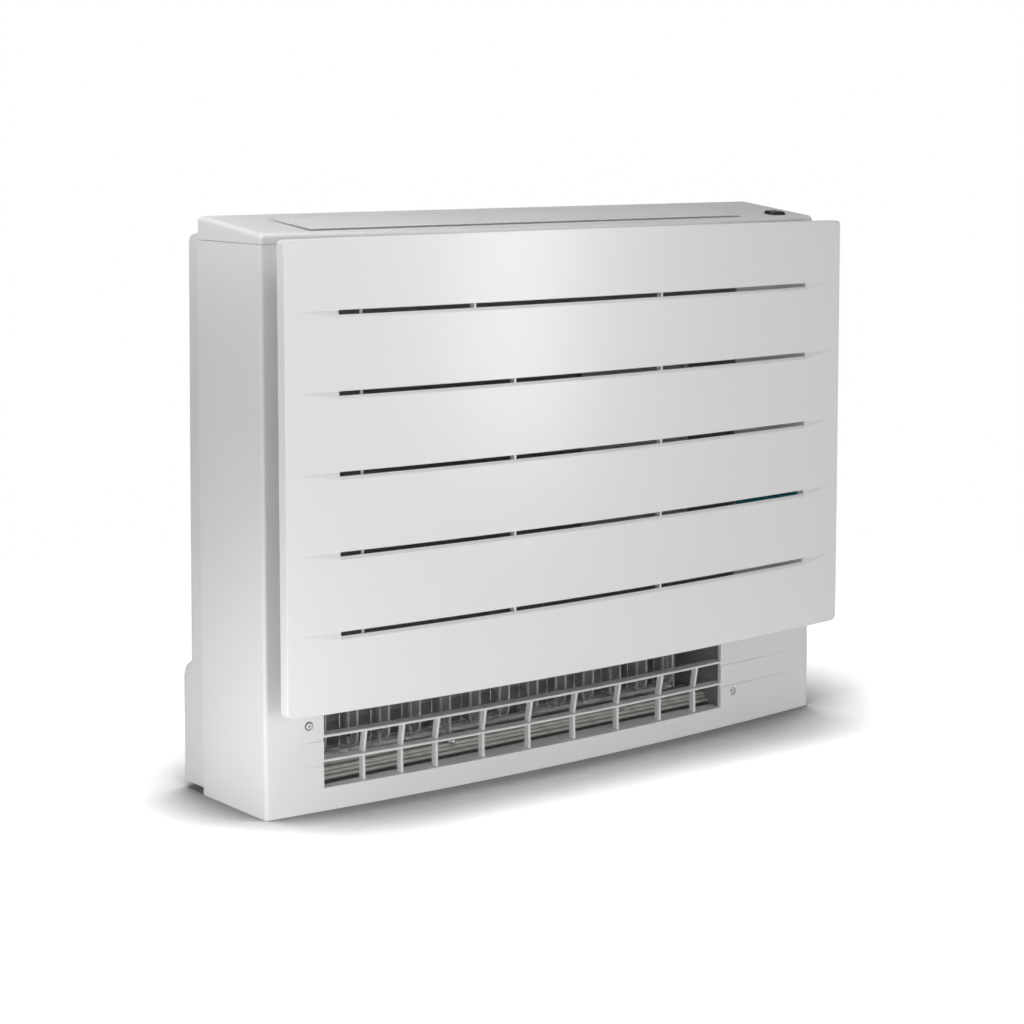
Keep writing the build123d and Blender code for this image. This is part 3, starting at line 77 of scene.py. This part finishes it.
# ---------------------------------------------------------------- materials: cells per metre, lengths in mm
BROAD_CELLS, FINE_CELLS = 7.0, 1400.0
DRAWN_CELLS, CLOUD_CELLS = 600.0, 40.0
SCUFF_CELLS, WEAVE_CELLS = 300.0, 260.0
GLOSS_CHANGE = 0.03  # roughness of plastic, up and down
METAL_EDGE, METAL_CHANGE = 0.25, 0.05
METAL_SMOOTHER, METAL_ROUGHER = 0.08, 0.1
CLEAR_IOR, CLEAR_CHANGE = 1.49, 0.03
CLEAR_SMOOTHER, CLEAR_ROUGHER = 0.03, 0.05
WEAVE_DEPTH, WEAVE_CHANGE, WEAVE_ROUGHNESS = 0.15, 0.35, 0.65
NOISE_LOW, NOISE_HIGH = 0.2, 0.8  # a noise value seldom lies beyond these
# cosines between a triangle and the true bowed face: unlike it below the first, like it above the second.
# The creases lie beyond the slots' ends, and only there does a small tilt count as a face of its own
ALIKE_BETWEEN_SLOTS = (0.85, 0.87)
ALIKE_BESIDE_SLOTS = (0.985, 0.992)

# ---------------------------------------------------------------- stage and sky
FLOOR_HALF, FLOOR_DROP = 12.0, 0.0004  # half its width, and how far it lies below the object's foot
FLOOR_PLAIN = 0.75  # what the floor throws back on the object
FLOOR_SEEN, PAINTED_SHADOW_DARK = 2.9, 0.3  # the seen floor's colour in the open, and its painted shadow where it meets the object
PAINTED_SHADOW_REACH, PAINTED_SHADOW_POWER = 0.19, 1.5  # reach and falloff of the painted shadow round the foot
PAINTED_SHADOW_CLOSED = 0.45  # openness at which the painted shadow is darkest
PAINTED_SHADOW_SAMPLES = 32
FADE_RADIUS = 1.5
FADE_END, FADE_START = 0.05, 0.45  # shares of the way in from that radius
SKY, SKY_OVERHEAD = 0.27, 0.6  # strength at the horizon, and the share of it overhead
LIGHT_TARGET = Vector((0, -0.05, 0.3))

# ---------------------------------------------------------------- camera, from the fit to the photo's edges
CAMERA_PLACE = (-1.6031, -2.0517, 0.6962)
CAMERA_YAW, CAMERA_PITCH, CAMERA_ROLL = 40.18, -5.57, 0.24  # degrees; yaw to the right of straight in
PICTURE = 1024  # the photo's side in pixels
FOCAL_PIXELS = 2407.35
CENTRE_PIXEL = (625.0, 350.0)
SENSOR = 36.0
CLIP_NEAR, CLIP_FAR = 0.05, 60


# ---------------------------------------------------------------- materials
class Nodes:
    """Shader nodes of a material or a world, made and linked by short calls."""

    def __init__(self, owner):
        owner.use_nodes = True
        self.owner = owner
        self.tree = owner.node_tree
        self.tree.nodes.clear()

    def feed(self, socket, value):
        """Give an input a number, a colour or another node's socket."""
        if isinstance(value, bpy.types.NodeSocket):
            self.tree.links.new(value, socket)
        else:
            socket.default_value = value

    def add(self, kind, settings=None, **inputs):
        """New node of that kind, its named inputs fed."""
        node = self.tree.nodes.new("ShaderNode" + kind)
        for key, value in (settings or {}).items():
            setattr(node, key, value)
        for key, value in inputs.items():
            self.feed(node.inputs[key.replace("_", " ")], value)
        return node

    def math(self, operation, *values):
        """Result of a sum on numbers."""
        node = self.add("Math", {"operation": operation})
        for socket, value in zip(node.inputs, values):
            self.feed(socket, value)
        return node.outputs[0]

    def vectors(self, operation, *values):
        """Node that works on vectors."""
        node = self.add("VectorMath", {"operation": operation})
        for socket, value in zip(node.inputs, values):
            self.feed(socket, value)
        return node

    def blend(self, factor, first, second):
        """Mix of two shader nodes."""
        node = self.add("MixShader", Fac=factor)
        self.feed(node.inputs[1], first.outputs[0])
        self.feed(node.inputs[2], second.outputs[0])
        return node

    def noise(self, scale, detail=2.0, stretch=(1, 1, 1)):
        """Noise over the object's own coordinates; scale is in cells per metre."""
        place = self.add("TexCoord").outputs["Object"]
        place = self.add("Mapping", Vector=place, Scale=stretch).outputs["Vector"]
        return self.add("TexNoise", Vector=place, Scale=scale, Detail=detail).outputs["Fac"]

    def spread(self, value, low, high):
        """A noise value spread between two numbers."""
        node = self.add(
            "MapRange", {"interpolation_type": "SMOOTHSTEP"}, Value=value,
            From_Min=NOISE_LOW, From_Max=NOISE_HIGH, To_Min=low, To_Max=high)
        return node.outputs["Result"]

    def shades(self, value, colour, change):
        """A colour that grows a little lighter and darker with a noise value."""
        node = self.add("Mix", {"data_type": "RGBA"})
        self.feed(node.inputs["Factor"], self.spread(value, 0, 1))
        node.inputs["A"].default_value = [c * (1 - change) for c in colour] + [1]
        node.inputs["B"].default_value = [min(1, c * (1 + change)) for c in colour] + [1]
        return node.outputs["Result"]

    def bump(self, value, depth, under=None):
        """Surface relief of that depth in metres, over another normal where one is given."""
        node = self.add("Bump", Height=value, Distance=depth, Strength=1.0)
        if under is not None:
            self.feed(node.inputs["Normal"], under)
        return node.outputs["Normal"]

    def soft_edge(self, radius):
        """Normal that rounds off edges."""
        return self.add("Bevel", {"samples": 4}, Radius=radius).outputs["Normal"]

    def bowed(self, centre_y):
        """True normal of a front bowed about the upright axis x = 0, y = centre_y.

        Faces that don't lie on that front keep the normal of their mesh.
        """
        split = self.add("SeparateXYZ", Vector=self.add("TexCoord").outputs["Object"])
        deep = self.math("SUBTRACT", split.outputs["Y"], centre_y)
        away = self.add("CombineXYZ", X=split.outputs["X"], Y=deep)
        turn = {"vector_type": "NORMAL", "convert_from": "OBJECT", "convert_to": "WORLD"}
        away = self.add("VectorTransform", turn, Vector=away.outputs["Vector"])
        true = self.vectors("NORMALIZE", away.outputs["Vector"]).outputs["Vector"]
        geometry = self.add("NewGeometry")
        match = self.vectors("DOT_PRODUCT", true, geometry.outputs["True Normal"]).outputs["Value"]
        beside = self.math("GREATER_THAN", self.math("ABSOLUTE", split.outputs["X"]), SLOT_HALF)
        least, most = (
            self.add("MapRange", Value=beside, To_Min=between, To_Max=outside).outputs["Result"]
            for between, outside in zip(ALIKE_BETWEEN_SLOTS, ALIKE_BESIDE_SLOTS))
        share = self.add("MapRange", Value=match, From_Min=least, From_Max=most)
        mix = self.add("Mix", {"data_type": "VECTOR"}, Factor=share.outputs["Result"])
        from_vector, to_vector = mix.inputs[4], mix.inputs[5]
        self.feed(from_vector, geometry.outputs["Normal"])
        self.feed(to_vector, true)
        return mix.outputs[1]

    def finish(self, shader, kind="OutputMaterial"):
        """Send a shader node to the surface."""
        self.add(kind, Surface=shader.outputs[0])
        return self.owner


def material_nodes(name):
    """Empty node tree of a new or known material."""
    return Nodes(bpy.data.materials.get(name) or bpy.data.materials.new(name))


def moulded(name, colour, roughness, grain=0.006, change=0.012, edge=0.35, bow_centre=None, **more):
    """Moulded plastic: fine grain, uneven gloss, soft edges or the true normal of a bowed face."""
    t = material_nodes(name)
    broad = t.noise(BROAD_CELLS, 3.0)
    fine = t.noise(FINE_CELLS)
    normal = t.soft_edge(edge * MM) if edge else None
    if bow_centre is not None:
        normal = more["Coat_Normal"] = t.bowed(bow_centre)
    shader = t.add(
        "BsdfPrincipled", Base_Color=t.shades(broad, colour, change),
        Roughness=t.spread(broad, roughness - GLOSS_CHANGE, roughness + GLOSS_CHANGE),
        Normal=t.bump(fine, grain * MM, normal), **more)
    return t.finish(shader)


def metal(name, colour, roughness, line=(1, 1, 1), grain=0.003):
    """Bare metal with fine drawn or brushed lines."""
    t = material_nodes(name)
    lines = t.noise(DRAWN_CELLS, 3.0, line)
    shader = t.add(
        "BsdfPrincipled", Base_Color=t.shades(t.noise(CLOUD_CELLS), colour, METAL_CHANGE), Metallic=1.0,
        Roughness=t.spread(lines, roughness - METAL_SMOOTHER, roughness + METAL_ROUGHER),
        Normal=t.bump(lines, grain * MM, t.soft_edge(METAL_EDGE * MM)))
    return t.finish(shader)


def clear(name, colour, roughness, transmission):
    """Clear moulded plastic with faint scuffs."""
    t = material_nodes(name)
    scuff = t.noise(SCUFF_CELLS, 3.0)
    shader = t.add(
        "BsdfPrincipled", Base_Color=t.shades(scuff, colour, CLEAR_CHANGE), IOR=CLEAR_IOR,
        Roughness=t.spread(scuff, roughness - CLEAR_SMOOTHER, roughness + CLEAR_ROUGHER),
        Transmission_Weight=transmission)
    return t.finish(shader)


def gauze(name, colour):
    """Dark woven filter gauze: fine crossed threads as relief and tone."""
    t = material_nodes(name)
    place = t.add("TexCoord").outputs["Object"]
    weave = t.math("MAXIMUM", *(
        t.add("TexWave", {"bands_direction": way}, Vector=place, Scale=WEAVE_CELLS).outputs["Fac"]
        for way in "XZ"))
    shader = t.add(
        "BsdfPrincipled", Base_Color=t.shades(weave, colour, WEAVE_CHANGE), Roughness=WEAVE_ROUGHNESS,
        Normal=t.bump(weave, WEAVE_DEPTH * MM))
    return t.finish(shader)


def panel_bow_centre():
    """Y, in the panel's own coordinates, of the axis its front is bowed about."""
    crest = min(v.co.y for v in bpy.data.objects["front_panel"].data.vertices)
    return crest + (PANEL_HALF**2 + PANEL_BOW**2) / (2 * PANEL_BOW)


def make_materials():
    """One material for each slot of the record, under the slot's own name, and three for small pieces."""
    made = [
        moulded("panel_white", (0.86, 0.86, 0.855), 0.32, change=0.006, edge=0,
                bow_centre=panel_bow_centre(), Coat_Weight=0.5, Coat_Roughness=0.22),
        moulded("cover_white", (0.84, 0.84, 0.83), 0.38, change=0.015, edge=0.5),
        moulded("flap_grey", (0.84, 0.85, 0.865), 0.42),
        moulded("rear_white", (0.80, 0.80, 0.79), 0.45, edge=0.5),
        moulded("display_black", (0.012, 0.012, 0.014), 0.08, grain=0.0006, change=0.1),
        moulded("key_grey", (0.05, 0.05, 0.055), 0.25),
        moulded("board_green", (0.02, 0.13, 0.06), 0.4, change=0.2),
        gauze("filter_dark", (0.17, 0.15, 0.14)),
        moulded("cassette_grey", (0.55, 0.53, 0.50), 0.6),
        moulded("filter_teal", (0.015, 0.28, 0.36), 0.75, grain=0.05, change=0.15),
        moulded("stopper_white", (0.78, 0.78, 0.77), 0.4),
        metal("steel_pin", (0.36, 0.36, 0.37), 0.3),
        metal("fin_aluminium", (0.80, 0.81, 0.82), 0.35, (12, 1, 0.2)),
        metal("galvanised", (0.66, 0.67, 0.68), 0.4),
        metal("copper", (0.78, 0.42, 0.27), 0.28),
        metal("brass_nut", (0.80, 0.62, 0.30), 0.25),
        moulded("pan_grey", (0.30, 0.30, 0.31), 0.5),
        moulded("fan_plastic", (0.22, 0.23, 0.24), 0.45),
        moulded("motor_shell", (0.45, 0.46, 0.47), 0.4),
        moulded("terminal_cream", (0.72, 0.66, 0.50), 0.5),
        moulded("duct_dark", (0.30, 0.285, 0.295), 0.45),
        moulded("flap_ridged", (0.47, 0.46, 0.43), 0.35),
        clear("clear_plastic", (0.70, 0.685, 0.71), 0.12, 0.72),
        # near-white, half clear: a painted highlight on the clear vanes' beads, collars and fingers
        clear("clear_rim", (0.95, 0.95, 0.95), 0.2, 0.45),
        moulded("pivot_black", (0.015, 0.014, 0.015), 0.35),
        moulded("mark_white", (0.85, 0.86, 0.88), 0.5, edge=0),
    ]
    return {material.name: material for material in made}


# ---------------------------------------------------------------- mesh helpers
def new_object(name, mesh, material):
    """Link a mesh as an object with one material."""
    thing = bpy.data.objects.new(name, mesh)
    bpy.context.scene.collection.objects.link(thing)
    mesh.materials.append(material)
    return thing


def shade_smooth(mesh):
    """Smooth shading on every face."""
    for face in mesh.polygons:
        face.use_smooth = True


def round_angles(count):
    """That many angles evenly round a circle."""
    return [2 * pi * i / count for i in range(count)]


def tube(name, points, radius, material, closed=False):
    """Round bead along points, as a mesh, with closed ends."""
    curve = bpy.data.curves.new(name + "_line", "CURVE")
    curve.dimensions = "3D"
    curve.bevel_depth = radius
    curve.bevel_resolution = TUBE_ROUNDNESS
    curve.use_fill_caps = True
    spline = curve.splines.new("POLY")
    spline.points.add(len(points) - 1)
    for point, place in zip(spline.points, points):
        point.co = (*place, 1)
    spline.use_cyclic_u = closed
    line = bpy.data.objects.new(name + "_line", curve)
    bpy.context.scene.collection.objects.link(line)
    bpy.context.view_layer.update()
    mesh = bpy.data.meshes.new_from_object(line.evaluated_get(bpy.context.evaluated_depsgraph_get()))
    bpy.data.objects.remove(line)
    bpy.data.curves.remove(curve)
    shade_smooth(mesh)
    mesh.materials.clear()
    mesh.name = name
    return new_object(name, mesh, material)


def peg(name, centre, radius, length, bevel, material):
    """Short bevelled cylinder along X about a centre."""
    work = bmesh.new()
    bmesh.ops.create_cone(
        work, cap_ends=True, segments=BUSH_SIDES, radius1=radius, radius2=radius, depth=length)
    rims = [e for e in work.edges if abs(e.verts[0].co.z - e.verts[1].co.z) < LEVEL]
    bmesh.ops.bevel(work, geom=rims, offset=bevel, segments=3, affect="EDGES", profile=0.5)
    place = Matrix.Translation(centre) @ Matrix.Rotation(pi / 2, 4, "Y")
    bmesh.ops.transform(work, matrix=place, verts=work.verts)
    mesh = bpy.data.meshes.new(name)
    work.to_mesh(mesh)
    work.free()
    shade_smooth(mesh)
    thing = new_object(name, mesh, material)
    thing.modifiers.new("edges", "EDGE_SPLIT").split_angle = SPLIT_ANGLE
    return thing


# ---------------------------------------------------------------- pieces
def vane_rim(index, low, high, looks):
    """Bright bead round a vane's free edge; its near-white colour is a painted highlight of the clear
    plate's edge.
    """
    x = (low.x + high.x) / 2
    back = high.y - BEAD_INSET
    front = high.y - VANE_RUN + BEAD_INSET
    top = high.z - VANE_HEAD - BEAD_INSET
    foot = high.z - VANE_FOOT + BEAD_INSET
    points = [(x, back - BEAD_END, top), (x, front + BEAD_CORNER, top), (x, front, top - BEAD_CORNER)]
    round_y, round_z = front + BEAD_ROUND, foot + BEAD_ROUND
    for step in range(BEAD_STEPS + 1):
        angle = radians(180 + 90 * step / BEAD_STEPS)
        points.append((x, round_y + BEAD_ROUND * cos(angle), round_z + BEAD_ROUND * sin(angle)))
    points.append((x, back, foot))
    rim = tube(f"vane_rim_{index:02d}", points, BEAD_R, looks["clear_rim"])
    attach(rim, f"vane_{index:02d}")


def vane_eye(index, low, high, looks):
    """Black bush through a vane, in a clear ring, and the clear finger above it; ring and finger are
    near-white, a painted highlight.
    """
    x = (low.x + high.x) / 2
    y, z = high.y - VANE_AXIS - EYE_AHEAD, high.z - VANE_FOOT + EYE_UP
    bush = peg(f"vane_bush_{index:02d}", (x, y, z), BUSH_R, BUSH_LENGTH, BUSH_BEVEL, looks["pivot_black"])
    ring = [(x, y + COLLAR_HALF_Y * cos(a), z + COLLAR_HALF_Z * sin(a)) for a in round_angles(COLLAR_STEPS)]
    collar = tube(f"vane_collar_{index:02d}", ring, COLLAR_BEAD, looks["clear_rim"], closed=True)
    head = high.z - VANE_HEAD
    line = [(x, y + ahead, head + up) for ahead, up in FINGER_LINE]
    finger = tube(f"vane_finger_{index:02d}", line, FINGER_R, looks["clear_rim"])
    for piece in (bush, collar, finger):
        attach(piece, f"vane_{index:02d}")


def dress_vanes(looks):
    """Beads, bushes and fingers on the clear vanes; beads, collars and fingers are near-white as painted
    highlights.
    """
    for index in range(1, VANE_COUNT + 1):
        low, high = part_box(f"vane_{index:02d}")
        vane_rim(index, low, high, looks)
        vane_eye(index, low, high, looks)


def screw_dark_ring(looks):
    """Black ring round the casing's screw, a little behind its front."""
    low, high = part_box("casing_screws")
    x, y, z = (low.x + high.x) / 2, low.y + DARK_RING_IN, (low.z + high.z) / 2
    ring = [(x + DARK_RING_R * cos(a), y, z + DARK_RING_R * sin(a)) for a in round_angles(RING_STEPS)]
    dark_ring = tube("screw_dark_ring", ring, DARK_RING_BEAD, looks["pivot_black"], closed=True)
    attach(dark_ring, "cabinet")


def key_mark(looks):
    """Light ring printed on the key."""
    low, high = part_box("power_button")
    x = (low.x + high.x) / 2
    y, z = KEY_TOP
    ring = [
        (x + MARK_R * cos(a), y + MARK_R * sin(a) * cos(LID_TILT), z + MARK_R * sin(a) * sin(LID_TILT))
        for a in round_angles(RING_STEPS)]
    mark = tube("key_mark", ring, MARK_BEAD, looks["mark_white"], closed=True)
    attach(mark, "power_button")


# ---------------------------------------------------------------- stage, light and camera
def floor_material():
    """Pale floor with a painted shadow, from ambient occlusion, round the object's foot; it runs out to
    white.
    """
    t = material_nodes("stage_floor")
    place = t.add("Mapping", Vector=t.add("TexCoord").outputs["Object"], Scale=(1 / FADE_RADIUS,) * 3)
    far = t.add("TexGradient", {"gradient_type": "SPHERICAL"}, Vector=place.outputs["Vector"])
    near = t.add("MapRange", Value=far.outputs["Fac"], From_Min=FADE_END, From_Max=FADE_START)
    ray = t.add("LightPath")
    seen = t.math("MAXIMUM", ray.outputs["Is Camera Ray"], ray.outputs["Is Glossy Ray"])
    # painted shadow: ambient occlusion round the foot darkens the seen floor's colour, not its light
    corner = t.add(
        "AmbientOcclusion", {"samples": PAINTED_SHADOW_SAMPLES, "only_local": False}, Distance=PAINTED_SHADOW_REACH)
    open_share = t.add("MapRange", Value=corner.outputs["AO"], From_Min=PAINTED_SHADOW_CLOSED, From_Max=1.0)
    falloff = t.math("POWER", open_share.outputs["Result"], PAINTED_SHADOW_POWER)
    painted_shadow = t.add("MapRange", Value=falloff, To_Min=PAINTED_SHADOW_DARK, To_Max=FLOOR_SEEN)
    plain = t.add("BsdfDiffuse", Color=(FLOOR_PLAIN, FLOOR_PLAIN, FLOOR_PLAIN, 1))
    bright = t.add("BsdfDiffuse", Color=painted_shadow.outputs["Result"])
    white = t.add("Emission", Color=(1, 1, 1, 1), Strength=1.0)
    picture = t.blend(near.outputs["Result"], white, bright)
    return t.finish(t.blend(seen, plain, picture))


def stage_floor():
    """Wide floor under the object that keeps the lamps' shadows, with a painted shadow round its foot."""
    mesh = bpy.data.meshes.new("stage_floor")
    corners = [(x * FLOOR_HALF, y * FLOOR_HALF, 0) for x, y in ((-1, -1), (1, -1), (1, 1), (-1, 1))]
    mesh.from_pydata(corners, [], [(0, 1, 2, 3)])
    floor = new_object("stage_floor", mesh, floor_material())
    floor.location.z = -FLOOR_DROP


def world_light():
    """White to the camera and to glass; a soft sky, brighter at the horizon, for everything else."""
    world = bpy.data.worlds.new("studio")
    bpy.context.scene.world = world
    t = Nodes(world)
    up = t.add("SeparateXYZ", Vector=t.add("TexCoord").outputs["Generated"]).outputs["Z"]
    height = t.add("MapRange", Value=up, To_Min=1.0, To_Max=SKY_OVERHEAD)
    soft = t.add("Background", Color=height.outputs["Result"], Strength=SKY)
    white = t.add("Background", Color=(1, 1, 1, 1), Strength=1.0)
    ray = t.add("LightPath")
    seen = t.math("MAXIMUM", ray.outputs["Is Camera Ray"], ray.outputs["Is Transmission Ray"])
    t.finish(t.blend(seen, soft, white), "OutputWorld")


def soft_box(name, azimuth, elevation, distance, width, height, power):
    """Rectangular lamp that looks at the object; azimuth 0 is in front, positive to its right."""
    lamp = bpy.data.lights.new(name, "AREA")
    lamp.shape = "RECTANGLE"
    lamp.size = width
    lamp.size_y = height
    lamp.energy = power
    thing = bpy.data.objects.new(name, lamp)
    bpy.context.scene.collection.objects.link(thing)
    a, e = radians(azimuth), radians(elevation)
    away = Vector((sin(a) * cos(e), -cos(a) * cos(e), sin(e)))
    thing.location = LIGHT_TARGET + distance * away
    thing.rotation_euler = (-away).to_track_quat("-Z", "Y").to_euler()


def lights():
    """Nine soft boxes: degrees round and up, metres away, width and height in metres, watts."""
    soft_box("key", -14, -4, 1.6, 0.5, 0.6, 5.0)
    soft_box("gloss", 31, -3, 2.6, 0.42, 1.5, 15.5)
    soft_box("high_front", -36, 50, 1.15, 0.7, 0.3, 1.7)
    soft_box("top", 120, 74, 2.2, 1.6, 1.0, 4.5)
    soft_box("lid_middle", -50, 80, 1.2, 0.7, 0.4, 2.8)
    soft_box("high_left", -95, 38, 0.72, 0.5, 0.12, 0.5)
    soft_box("back", 170, 4, 2.4, 1.0, 0.6, 10)
    soft_box("low_left", -80, -19, 0.74, 0.5, 0.1, 0.75)
    soft_box("front_left", -50, -4, 1.6, 0.4, 0.5, 1.1)


def camera():
    """The photo's view: position, direction, roll, lens and shift from the edge fit."""
    data = bpy.data.cameras.new("camera")
    data.sensor_width = SENSOR
    data.sensor_fit = "HORIZONTAL"
    data.lens = FOCAL_PIXELS / PICTURE * SENSOR
    data.shift_x = (PICTURE / 2 - CENTRE_PIXEL[0]) / PICTURE
    data.shift_y = (CENTRE_PIXEL[1] - PICTURE / 2) / PICTURE
    data.clip_start = CLIP_NEAR
    data.clip_end = CLIP_FAR
    yaw, pitch, roll = radians(CAMERA_YAW), radians(CAMERA_PITCH), radians(CAMERA_ROLL)
    look = Vector((sin(yaw) * cos(pitch), cos(yaw) * cos(pitch), sin(pitch)))
    right = Vector((cos(yaw), -sin(yaw), 0))
    up = right.cross(look)
    right_rolled = right * cos(roll) + up * sin(roll)
    up_rolled = up * cos(roll) - right * sin(roll)
    thing = bpy.data.objects.new("camera", data)
    bpy.context.scene.collection.objects.link(thing)
    turn = Matrix((right_rolled, up_rolled, -look)).transposed().to_4x4()
    thing.matrix_world = Matrix.Translation(CAMERA_PLACE) @ turn
    bpy.context.scene.camera = thing


# ---------------------------------------------------------------- build
materials = make_materials()
dress_vanes(materials)
screw_dark_ring(materials)
key_mark(materials)
stage_floor()
world_light()
lights()
camera()
bpy.context.scene.view_settings.view_transform = "Standard"
